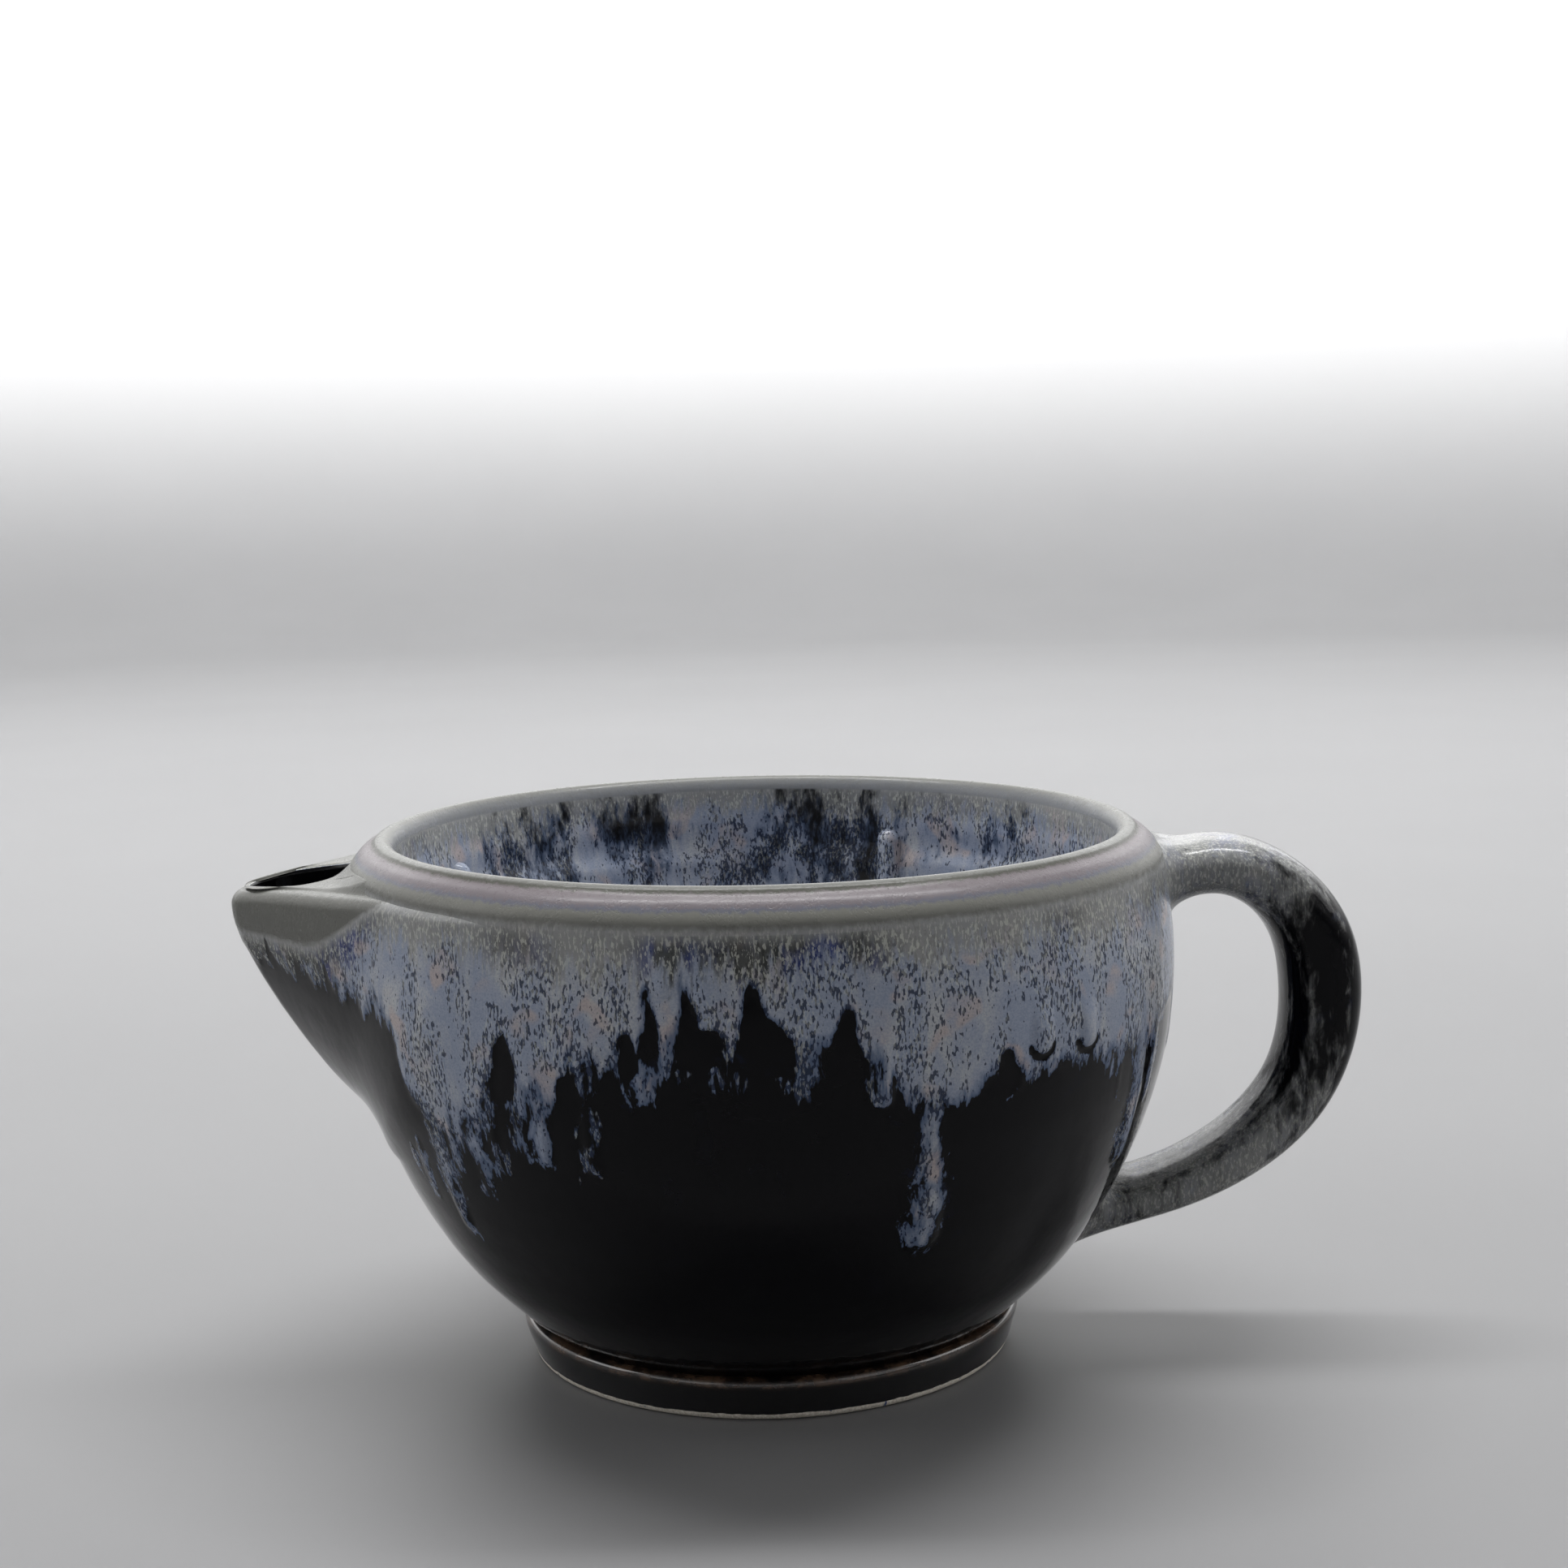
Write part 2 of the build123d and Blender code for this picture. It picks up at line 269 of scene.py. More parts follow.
def cover(angle, z, radius):
    """How far inside the light overglaze a place on the wall lies, in mm: below 0 is bare dark glaze."""
    edge_azimuth, edge_height = np.array(run_edge).T
    depth = z - np.interp(angle, edge_azimuth, edge_height)
    for at, tip, tip_half, neck_half, start in runs:
        slant = 0.04 * (tip - z) * math.sin(at)
        across = np.abs(arc_between(angle, at + slant, radius))
        t = np.clip((z - tip) / (start - tip), 0, 1)
        sides = tip_half + (neck_half - tip_half) * t - across
        end = tip_half - np.hypot(across, z - tip - tip_half)
        run = np.where(z > tip + tip_half, sides, end)
        depth = np.maximum(depth, np.minimum(run, start + 6 - z))
    for at, low, high, half in gaps:
        wander = 0.3 * np.sin(0.6 * z + at)
        across = np.abs(arc_between(angle, at + wander, radius)) / half
        along_gap = np.abs(z - (low + high) / 2) / (high - low) * 2
        depth = depth - 4.6 * np.clip(2.1 - np.hypot(across * 0.75, along_gap**2 * 1.4), 0, 1.7)
    # Painted shadow: a dark crescent of bare glaze just under each of these beads.
    for at, tip, half, *_ in beads_with_painted_shadow:
        across = arc_between(angle, at, radius)
        outside = np.hypot(across, z - tip - half) - half
        below = 1 - ease(z, tip + 0.5 * half, tip + 1.3 * half)
        depth = depth - 11 * np.exp(-((outside - 0.5) / 0.45) ** 2) * below
    return np.clip(depth, -12, 12)


def bead_relief(angle, z, radius):
    """Height of the thick beads of glaze over the wall, in mm."""
    relief = np.zeros_like(z)
    for at, tip, half, length, thick in beads:
        across = arc_between(angle, at, radius) / half
        up = z - tip - half
        round_end = np.clip(1 - across**2 - (np.minimum(up, 0) / half) ** 2, 0, 1)
        relief = np.maximum(relief, thick * np.sqrt(round_end) * (1 - ease(up, 0, length)))
    return relief


def wall_relief(p, depth):
    """Everything that lifts the wall: throwing lines, the overglaze's own thickness and its beads, in mm."""
    angle, z = azimuth(p), p[..., 2]
    radius = np.hypot(p[..., 0], p[..., 1])
    throwing = 0.012 * np.sin(z * 1.15 + 0.35 * np.sin(np.radians(angle) * 2)) + 0.03 * np.sin(z * 0.37 + 1)
    fade = ease(z, foot_top, 14) * (1 - ease(z, 82, 85))
    return (throwing + 0.16 * ease(depth, -0.2, 1.6) + bead_relief(angle, z, radius) - wall_inset) * fade


def push_out(p, amount):
    """Points moved away from the bowl's axis."""
    out = p.copy()
    flat = np.hypot(p[..., 0], p[..., 1])
    out[..., 0] += amount * p[..., 0] / np.maximum(flat, 1e-6)
    out[..., 1] += amount * p[..., 1] / np.maximum(flat, 1e-6)
    return out


# ---------------------------------------------------------------- materials
class Shader:
    """A small helper that adds nodes to one material and links them as they are made."""

    def __init__(self, name):
        self.material = bpy.data.materials.new(name)
        self.material.use_nodes = True
        self.tree = self.material.node_tree
        self.tree.nodes.clear()

    def node(self, kind, inputs=None, **settings):
        made = self.tree.nodes.new(kind)
        for key, value in settings.items():
            setattr(made, key, value)
        for key, value in (inputs or {}).items():
            if isinstance(value, bpy.types.NodeSocket):
                self.tree.links.new(value, made.inputs[key])
            elif value is not None:
                made.inputs[key].default_value = value
        return made

    def math(self, operation, a, b=0.0, c=0.0, clamp=False):
        made = self.node("ShaderNodeMath", {0: a, 1: b, 2: c}, operation=operation, use_clamp=clamp)
        return made.outputs[0]

    def step(self, value, low, high, to_low=0.0, to_high=1.0):
        ranges = {"Value": value, "From Min": low, "From Max": high, "To Min": to_low, "To Max": to_high}
        return self.node("ShaderNodeMapRange", ranges, interpolation_type="SMOOTHSTEP").outputs["Result"]

    def mix(self, factor, a, b):
        return self.node("ShaderNodeMix", {0: factor, 6: a, 7: b}, data_type="RGBA").outputs[2]

    def noise(self, vector, scale, detail, rough, warp=0.0):
        """A noise whose features are about 1 / scale of a metre across."""
        settings = {"Vector": vector, "Scale": scale, "Detail": detail}
        settings.update({"Roughness": rough, "Distortion": warp})
        return self.node("ShaderNodeTexNoise", settings).outputs["Fac"]

    def add(self, value, factor, other):
        return self.math("MULTIPLY_ADD", value, factor, other)

    def swing(self, value, noise, amount):
        """The value moved up and down by a noise."""
        return self.add(self.math("SUBTRACT", noise, 0.5), amount, value)

    def stretched(self, vector, along_z):
        """The place with its height scaled, so that a noise there draws out into streaks down the wall."""
        return self.node("ShaderNodeMapping", {"Vector": vector, "Scale": (1, 1, along_z)}).outputs[0]

    def attribute(self, name):
        return self.node("ShaderNodeAttribute", attribute_name=name).outputs["Fac"]

    def surface(self, inputs, **constants):
        shader = self.node("ShaderNodeBsdfPrincipled", inputs)
        for key, value in constants.items():
            shader.inputs[key.replace("_", " ")].default_value = value
        self.node("ShaderNodeOutputMaterial", {"Surface": shader.outputs[0]})
        return self.material


black_glaze = (0.0035, 0.0035, 0.0045, 1)
navy_glaze = (0.007, 0.012, 0.034, 1)
cobalt = (0.010, 0.022, 0.145, 1)
slate_blue = (0.080, 0.112, 0.185, 1)
milk_blue = (0.270, 0.305, 0.385, 1)
milk_grey = (0.400, 0.410, 0.430, 1)
blush = (0.430, 0.360, 0.335, 1)
olive = (0.045, 0.046, 0.042, 1)
ash = (0.250, 0.252, 0.246, 1)
cream = (0.60, 0.61, 0.54, 1)
clay_shadow = (0.55, 0.50, 0.42, 1)
clay_light = (0.80, 0.76, 0.68, 1)
blue_speck = (0.05, 0.08, 0.2, 1)
# Painted highlight colour for the top of the foot's shoulder.
brown_shoulder_highlight = (0.075, 0.045, 0.028, 1)

# The rim's bands from the lip outwards: (radius, colour). The palest, at the lip's inner edge, is a painted
# highlight.
rim_bands = [
    (61.0, (0.20, 0.21, 0.23, 1)), (62.6, (0.155, 0.156, 0.145, 1)), (64.3, (0.150, 0.152, 0.142, 1)),
    (64.9, (0.080, 0.080, 0.068, 1)), (65.4, (0.148, 0.130, 0.138, 1)), (67.3, (0.150, 0.134, 0.145, 1)),
    (67.8, (0.115, 0.120, 0.148, 1)), (68.2, (0.150, 0.150, 0.135, 1)), (69.3, (0.115, 0.116, 0.106, 1)),
]


class Glaze(Shader):
    """Dark tenmoku under a milky blue overglaze, with an olive melt under the rim and bands round the rim.

    The mesh gives each place by attributes: `depth`, how far inside the overglaze it is in mm; `height`, its
    height in mm before the rim leans; `rim`, its radius in mm where it lies on the rim; and
    `pools_and_dark_reflection`, 1 where
    the melt is darkest: cobalt pools on the spout, and a painted dark reflection under the bowl's rim in
    front.
    """

    def __init__(self, name, streak=0.16, patchy=0.0, soft=0.0):
        super().__init__(name)
        self.place = self.node("ShaderNodeTexCoord").outputs["Object"]
        self.drops = self.stretched(self.place, 0.40)
        self.height = self.attribute("height")
        flow = self.stretched(self.place, streak)
        self.fray = self.noise(flow, 1100, 3, 0.6)
        self.clouds = self.noise(self.drops, 120, 5, 0.62, 0.8)
        self.patches = self.noise(self.drops, 140, 3, 0.55, 0.8)
        self.grain = self.noise(self.place, 900, 3, 0.6)

        inside = self.ragged_edge(flow, patchy)
        covered = self.step(inside, -0.1 - soft, 0.7 + soft)
        thick = self.step(inside, 0.1, 4.5)
        holes = self.stipple(thick)
        flecks = self.flecks()
        over = self.mix(self.melting(), self.milky(thick, holes, flecks), self.melt(flecks))
        colour = self.mix(covered, self.bare(inside), over)
        on_rim = self.step(self.add(self.grain, 1.2, self.height), 85.9, 87.2)
        colour = self.mix(on_rim, colour, self.rim_colour())

        ripple = self.noise(self.place, 240, 2, 0.5)
        relief = self.add(covered, self.math("MULTIPLY", holes, -0.25), ripple)
        bump = self.node("ShaderNodeBump", {"Strength": 0.25, "Distance": 0.0003, "Height": relief})
        sheen = self.math("MULTIPLY", covered, self.step(self.grain, 0.3, 0.7, 0.5, 1.0))
        rough = self.add(on_rim, 0.14, self.add(sheen, 0.14, 0.05))
        inputs = {"Base Color": colour, "Roughness": rough, "Normal": bump.outputs[0]}
        self.surface(inputs, IOR=1.5, Specular_IOR_Level=0.14)

    def ragged_edge(self, flow, patchy):
        """The depth inside the overglaze, whose edge wanders, frays into streaks and leaves bare patches."""
        inside = self.swing(self.attribute("depth"), self.noise(flow, 260, 4, 0.6, 0.4), 6.0)
        inside = self.swing(inside, self.fray, 4.0)
        inside = self.swing(inside, self.noise(self.drops, 420, 3, 0.6, 0.5), 11.0)
        if patchy:
            inside = self.swing(inside, self.noise(self.drops, 75, 3, 0.5, 0.8), -patchy)
        return inside

    def stipple(self, thick):
        """Dark dots where the overglaze thins: in long patches, and along its edges."""
        dots = self.noise(self.drops, 2350, 1.0, 0.5)
        level = self.step(self.patches, 0.42, 0.56, 0.60, 0.43)
        level = self.add(thick, 0.12, self.math("SUBTRACT", level, 0.03))
        return self.step(self.math("SUBTRACT", dots, level), -0.005, 0.05)

    def flecks(self):
        """Fine cream flecks, longer than they are wide."""
        return self.step(self.noise(self.stretched(self.place, 0.34), 2600, 2, 0.6), 0.52, 0.61)

    def milky(self, thick, holes, flecks):
        """The overglaze: clouds of blue and grey with warm blotches, slate blue where it is thin."""
        warm = self.step(self.noise(self.place, 175, 1.5, 0.4, 0.4), 0.55, 0.69)
        warm = self.math("MULTIPLY", warm, self.step(self.patches, 0.46, 0.62, 0.80, 0.30))
        colour = self.mix(self.step(self.clouds, 0.42, 0.66), milk_blue, milk_grey)
        colour = self.mix(warm, colour, blush)
        colour = self.mix(thick, slate_blue, colour)
        fine_grain = self.step(self.noise(self.place, 3000, 2, 0.6), 0.40, 0.65, 0.0, 0.25)
        colour = self.mix(fine_grain, colour, slate_blue)
        colour = self.mix(self.math("MULTIPLY", holes, 0.82), colour, navy_glaze)
        some_flecks = self.math("MULTIPLY", flecks, self.step(self.patches, 0.45, 0.62, 0.0, 0.28))
        return self.mix(some_flecks, colour, cream)

    def melt(self, flecks):
        """Under the rim the two glazes melt into an olive brown with cream flecks and cobalt pools."""
        pools = self.step(self.noise(self.drops, 190, 3, 0.5, 0.6), 0.46, 0.66)
        dim = self.step(self.noise(self.place, 26, 2, 0.5), 0.44, 0.68)
        # The attribute read here darkens the melt: cobalt pools on the spout, a painted dark reflection on
        # the bowl's front.
        dim = self.math("ADD", dim, self.attribute("pools_and_dark_reflection"), clamp=True)
        colour = self.mix(dim, ash, self.mix(self.math("MULTIPLY", pools, 0.9), olive, cobalt))
        colour = self.mix(self.step(self.add(self.fray, 3.0, self.height), 84.3, 87.4), colour, ash)
        many_flecks = self.math("MULTIPLY", flecks, self.step(self.height, 83.5, 86.5, 0.50, 0.06))
        return self.mix(many_flecks, colour, cream)

    def melting(self):
        """How far the overglaze has turned into the melt, with a ragged lower edge."""
        ragged = self.swing(self.swing(self.height, self.fray, 16.0), self.clouds, 12.0)
        return self.step(ragged, 77.0, 83.0, 0.0, 0.9)

    def bare(self, inside):
        """The bare dark glaze has a little cobalt in it, most near the runs."""
        blue_hint = self.step(self.noise(self.place, 160, 3, 0.6, 0.5), 0.60, 0.78)
        near_run = self.step(inside, -4.0, 0.0, 0.1, 0.9)
        return self.mix(self.math("MULTIPLY", blue_hint, near_run), black_glaze, navy_glaze)

    def rim_colour(self):
        """The bands round the rim, with grainy borders."""
        low, high = rim_bands[0][0], rim_bands[-1][0]
        across = self.swing(self.attribute("rim"), self.grain, 1.3)
        across = self.node("ShaderNodeMapRange", {"Value": across, "From Min": low, "From Max": high})
        ramp = self.node("ShaderNodeValToRGB", {"Fac": across.outputs["Result"]})
        stops = ramp.color_ramp.elements
        for radius, tint in rim_bands[1:-1]:
            stops.new((radius - low) / (high - low)).color = tint
        stops[0].color = rim_bands[0][1]
        stops[len(stops) - 1].color = rim_bands[-1][1]
        return ramp.outputs["Color"]


def foot_glaze():
    """Glossy dark glaze wiped off the standing ring, which shows the cream clay with a few blue specks."""
    nodes = Shader("foot_glaze")
    place = nodes.node("ShaderNodeTexCoord").outputs["Object"]
    uneven = nodes.noise(place, 300, 3, 0.6)
    clay_here = nodes.step(nodes.swing(nodes.attribute("bare"), uneven, 1.2), 0.35, 0.65)
    grains = nodes.noise(place, 2200, 3, 0.7)
    clay = nodes.mix(nodes.step(grains, 0.35, 0.7), clay_shadow, clay_light)
    specks = nodes.step(nodes.noise(place, 700, 2, 0.5), 0.68, 0.74)
    clay = nodes.mix(specks, clay, blue_speck)
    # Painted highlight: the top of the foot's shoulder turns brown in uneven patches.
    shoulder_highlight_here = nodes.math("MULTIPLY", nodes.attribute("edge"), nodes.step(uneven, 0.35, 0.7))
    colour = nodes.mix(clay_here, nodes.mix(shoulder_highlight_here, black_glaze, brown_shoulder_highlight), clay)
    rough = nodes.add(clay_here, 0.7, 0.07)
    relief = nodes.math("MULTIPLY", grains, nodes.add(clay_here, 0.8, 0.05))
    bump = nodes.node("ShaderNodeBump", {"Strength": 0.4, "Distance": 0.0003, "Height": relief})
    inputs = {"Base Color": colour, "Roughness": rough, "Normal": bump.outputs[0]}
    return nodes.surface(inputs, IOR=1.5, Specular_IOR_Level=0.8)


outer_material = Glaze("outer_glaze").material
inner_material = Glaze("inner_glaze", streak=0.30, patchy=17.0, soft=2.2).material
handle_material = Glaze("handle_glaze", soft=2.4).material
foot_material = foot_glaze()


# ---------------------------------------------------------------- pieces
def glaze_values(p, depth):
    """The glaze's attributes on rings of points, given how deep each lies inside the overglaze."""
    return {"depth": depth, "height": p[..., 2], "rim": np.hypot(p[..., 0], p[..., 1])}


def make_outer_bowl():
    """The outer wall from the foot up to the seam under the rim, with the jacket's hollow inside it."""
    wall = spline(outer_profile, 280)
    profile = np.concatenate([[(20, foot_top)], wall, spline(jacket_profile, 24), [(16, 12.5)]])
    rings = revolve(profile)
    skin = slice(1, 1 + len(wall))
    outside = rings[skin]
    depth = np.full(rings.shape[:2], -12.0)
    depth[skin] = cover(azimuth(outside), outside[..., 2], np.hypot(outside[..., 0], outside[..., 1]))
    rings[skin] = push_out(outside, wall_relief(outside, depth[skin]))
    values = glaze_values(rings, depth)
    # Painted dark reflection: the melt under the rim turns dark olive and cobalt in a band facing the front.
    values["pools_and_dark_reflection"] = 1 - ease(np.abs(azimuth(rings) + 90), 11, 19)
    return mesh_piece("outer_bowl_skin", rings, outer_material, ["outer_bowl"],
                      values, sharp=(1, len(wall), 1 + len(wall)))


def inner_depth(p):
    """Cover inside the bowl: nearly all of it, less at the back and thinner on the floor. The rim is covered.
    """
    angle, z = azimuth(p), p[..., 2]
    radius = np.maximum(np.hypot(p[..., 0], p[..., 1]), 1)
    from_back = arc_between(angle, 90, radius)
    # Painted dark reflection: less cover in a band at the back, opposite the front, leaves the bare dark
    # glaze showing.
    back = ease(from_back, -40, -16) * (1 - ease(from_back, 16, 40))
    inside = 4.6 + 1.2 * np.sin(np.radians(angle) * 5) - 2.6 * back - 2.5 * (1 - ease(z, 38, 50))
    return np.where(radius > 64, 12, inside)


def inner_values(p):
    """The glaze's attributes inside the bowl, where the melt starts higher up under the rim."""
    values = glaze_values(p, inner_depth(p))
    height = values["height"]
    values["height"] = height - 5 * (1 - ease(height, 87.5, 90.8)) * (values["rim"] < 63.5)
    return values


def make_inner_bowl():
    """The lather bowl: floor, wall with throwing lines, rounded lip, sloping rim band and hidden back."""
    seen = [spline(floor_profile, 130)[1:], spline(upper_wall_profile, 34)[1:], spline(lip_profile, 30)[1:],
            spline(band_profile, 40)[1:]]
    profile = np.concatenate(seen + [spline(inner_back_profile, hidden_points)])
    rings = revolve(profile)
    back = len(profile) - hidden_points
    angle, z = azimuth(rings), rings[..., 2]
    throwing = 0.10 * np.sin(z * 0.9 + 0.6 * np.sin(np.radians(angle) * 3))
    inside_points = 160  # from the middle of the floor nearly to the lip
    on_inner_wall = np.arange(len(profile)) < inside_points
    fade = ease(z, 40, 50) * (1 - ease(z, 84, 88))
    rings = push_out(rings, throwing * on_inner_wall[:, None] * fade)
    return mesh_piece("lather_bowl", rings, inner_material, ["inner_bowl"],
                      inner_values(rings), sharp=(back - 1, back))


def make_ridges():
    """Rounded ribs down the inside wall that work up the lather."""
    line = spline(ridge_line, 70)
    tangent = np.gradient(line, axis=0)
    tangent /= np.linalg.norm(tangent, axis=1)[:, None]
    inward = np.stack([tangent[:, 1], -tangent[:, 0]], -1)
    inward *= -np.sign(inward[:, :1])
    length = np.concatenate([[0], np.cumsum(np.linalg.norm(np.diff(line, axis=0), axis=1))])
    from_end = np.clip(np.minimum(length, length[-1] - length) / 2.6, 0, 1)
    size = ridge_half_width * np.sqrt(np.clip(1 - (1 - from_end) ** 2, 0.02, 1))
    phi = np.linspace(0, 2 * math.pi, 32, endpoint=False)
    across = np.outer(size, np.cos(phi))
    proud = np.outer(size, np.sin(phi)) * np.where(np.sin(phi) > 0, 1.0, 0.5)
    flat = line[:, None, 0] + proud * inward[:, None, 0]
    rise = line[:, None, 1] + proud * inward[:, None, 1]
    for k in range(ridge_count):
        turn = math.radians(first_ridge + 360 / ridge_count * k)
        out = np.array([math.cos(turn), math.sin(turn), 0])
        side = np.array([-math.sin(turn), math.cos(turn), 0])
        rings = flat[..., None] * out + across[..., None] * side
        rings[..., 2] = rise
        name = f"lather_ridge_{k + 1}"
        mesh_piece(name + "_glazed", rings, inner_material, [name], inner_values(rings))


def make_foot():
    """The turned foot: a standing ring of bare clay, a glazed side and a small rounded shoulder."""
    parts = [spline(foot_profile[:2], 6), spline(foot_profile[1:], 26)[1:], spline(foot_shoulder, 30)[1:]]
    profile = np.concatenate(parts)
    rings = revolve(profile, 360)
    rings[..., 2] = np.maximum(rings[..., 2], 0)
    z = rings[..., 2]
    radius = np.hypot(rings[..., 0], rings[..., 1])
    bare = 1 - ease(z, 0.9, 1.7)
    # Where the painted brown highlight lies: along the top of the shoulder.
    edge = ease(z, 5.6, 6.5)
    wobble = 0.10 * np.sin(np.radians(azimuth(rings)) * 3 + z)
    rings = push_out(rings, wobble * (radius > 38) * ease(z, 0.5, 2) * (1 - ease(z, 6, 7.5)))
    return mesh_piece("foot_ring_glazed", rings, foot_material, ["foot_ring"],
                      {"bare": bare, "edge": edge}, loop=True)


def spout_plan(turn, z):
    """Outline of bowl and spout at angles from -X, and how far inside the bowl the spout alone lies, in mm.

    The spout is two flanks tangent to the bowl's circle and a round tip. A smooth maximum melts it into
    the bowl.
    """
    bowl = wall_radius(z)
    tip = along(spout_tip_radius, z)
    centre = along(spout_reach, z) - tip
    touch = np.arccos(np.clip((bowl - tip) / centre, -1, 1))
    tip_touch = np.arctan2(tip * np.sin(touch), centre + tip * np.cos(touch))
    a = np.abs(turn)
    nose = centre * np.cos(a) + np.sqrt(np.maximum(tip**2 - (centre * np.sin(a)) ** 2, 0))
    flank = bowl / np.cos(np.clip(touch - a, 0, 1.3))
    past = bowl - flank_fall * np.maximum(a - touch, 0) ** 2
    hull = np.where(a < tip_touch, nose, np.where(a < touch, flank, past))
    spout = np.where(centre + tip > bowl, hull, np.minimum(nose, past))
    near = np.maximum(melt_width - np.abs(spout - bowl), 0) / melt_width
    return np.maximum(spout, bowl) + melt_width / 4 * near**2, bowl - spout


def spout_top_height(x, y):
    """The spout's top rises towards the bowl, ever more gently, with a fillet up to the rim's shoulder."""
    gap = np.hypot(x, y) - 68.6
    climb = spout_top_climb * (1 - np.exp(-spout_top_rise * (x + 91) / spout_top_climb))
    return spout_top_tip + climb + 2.6 * np.exp(-np.maximum(gap, 0) / 2.6)


def spout_skin(turn):
    """The spout's flanks from inside the bowl's wall up to where the top edge rounds, and their cover."""
    outline = spout_plan(turn, np.full(len(turn), outline_height))[0]
    edge_z = spout_top_height(-outline * np.cos(turn), -outline * np.sin(turn))
    climb = np.linspace(0, 1, skin_rows)[:, None]
    z = spout_base + climb * (edge_z - edge_round - spout_base)
    r, inside = spout_plan(np.broadcast_to(turn, z.shape), z)
    r = r - 0.5 * ease(inside, melt_width, melt_width + 1.8)
    skin = np.stack([-r * np.cos(turn), -r * np.sin(turn), z], -1)
    side = np.abs(np.degrees(turn)) + 0 * z
    edge = 70.8 - 4.4 * ease(side, 8, 33) + 1.6 * np.sin(side * 1.1) + 0.9 * np.sin(side * 2.7 + 1)
    share = ease(side, 33, 38)
    depth = (z - edge) * (1 - share) + cover(azimuth(skin), z, r) * share
    return push_out(skin, wall_relief(skin, depth)), depth


def rolled_edge(top):
    """Rings over the rounded top edge, moving in along the outline's own normal."""
    along_edge = np.gradient(top[:, :2], axis=0)
    normal = np.stack([along_edge[:, 1], -along_edge[:, 0]], -1)
    normal /= np.linalg.norm(normal, axis=1)[:, None]
    normal *= np.sign((normal * (top[:, :2] - (pour_centre, 0))).sum(1))[:, None]
    rings = []
    for angle in np.linspace(0, math.pi / 2, roll_rows + 1)[1:]:
        ring = top.copy()
        ring[:, :2] -= normal * edge_round * (1 - math.cos(angle))
        ring[:, 2] += edge_round * math.sin(angle)
        rings.append(ring)
    return rings


def hidden_side(outside, half):
    """The spout's hidden side, just inside the bowl's wall."""
    turn = np.linspace(half, -half, hidden_columns + 2)[1:-1]
    share = np.linspace(0, 1, hidden_columns + 2)[1:-1]
    z = outside[:, -1:, 2] + (outside[:, :1, 2] - outside[:, -1:, 2]) * share
    z = np.minimum(z, 84.2)
    r = wall_radius(np.minimum(z, 84)) - 2.6
    return np.stack([-r * np.cos(turn), -r * np.sin(turn), z], -1)


def pour_hole(bearing, size, centre=pour_centre):
    """Plan of the pouring hole at the given bearings round it, at a multiple of its own size."""
    return np.stack([centre + pour_length * size * np.cos(bearing), pour_width * size * np.sin(bearing)], -1)


def top_and_channel(last):
    """Rings in across the spout's top, over the rounded lip of the hole and down the blind channel."""
    bearing = np.arctan2(last[:, 1], last[:, 0] - pour_centre)
    lip_outline = pour_hole(bearing, 1 + pour_lip / pour_length)
    hidden = np.arange(len(last)) >= spout_columns
    rings = []
    for share in np.linspace(0, 1, top_rows + 1)[1:]:
        flat = last[:, :2] + (lip_outline - last[:, :2]) * share
        height = spout_top_height(flat[:, 0], flat[:, 1]) + 0.21 * math.sin(share * math.pi)
        blend = last[:, 2] + (height - last[:, 2]) * ease(share, 0, 0.25)
        rings.append(np.column_stack([flat, np.where(hidden, np.maximum(blend, height), blend)]))
    hole = pour_hole(bearing, 1)
    hole_height = spout_top_height(hole[:, 0], hole[:, 1])
    for angle in np.linspace(0, math.pi / 2, lip_rows + 1)[1:]:
        flat = pour_hole(bearing, 1 + pour_lip * (1 - math.sin(angle)) / pour_length)
        rings.append(np.column_stack([flat, hole_height - pour_lip * (1 - math.cos(angle))]))
    mouth = rings[-1][:, 2]
    for drop in np.linspace(0, 1, channel_rows + 1)[1:]:
        flat = pour_hole(bearing, 1 - 0.66 * ease(drop, 0.30, 1.0), pour_centre + 10.5 * drop**1.5)
        rings.append(np.column_stack([flat, mouth - channel_depth * drop]))
    return np.array(rings)


def spout_values(rings, skin_depth, side):
    """The glaze's attributes on the spout: smooth grey on top, bare and dark inside the hole."""
    depth = np.concatenate([skin_depth, np.repeat(skin_depth[-1:], len(rings) - skin_rows, axis=0)])
    depth = np.concatenate([depth, np.full((len(rings), hidden_columns), 8.0)], axis=1)
    row = np.arange(len(rings))[:, None]
    below_mouth = row - (skin_rows + roll_rows + top_rows + lip_rows)
    in_hole = ease(below_mouth, -7, -3)
    depth = np.where(row > skin_rows + 4, 8.0, depth) - 24 * in_hole
    height = rings[..., 2].copy()
    height[:, :spout_columns] += 10.5 * (1 - ease(side, 14, 36))
    radius = np.hypot(rings[..., 0], rings[..., 1])
    on_top = ease(radius, 69.4, 72.0) * ease(row, skin_rows - 1, skin_rows + 9)
    height = np.where(row >= skin_rows, height * (1 - on_top) + 88.0 * on_top, height) - 40 * in_hole
    lip = np.exp(-((below_mouth + 9) / 5.0) ** 2)
    rim = radius + (69.2 - lip - radius) * ease(radius, 69.0, 72.0)
    sides = np.append(side, np.full(hidden_columns, 60))
    pools_and_dark_reflection = 0.85 * (1 - ease(sides, 22, 36)) * (1 - ease(row, skin_rows, skin_rows + 8))
    return {"depth": depth, "height": height, "rim": rim, "pools_and_dark_reflection": pools_and_dark_reflection}


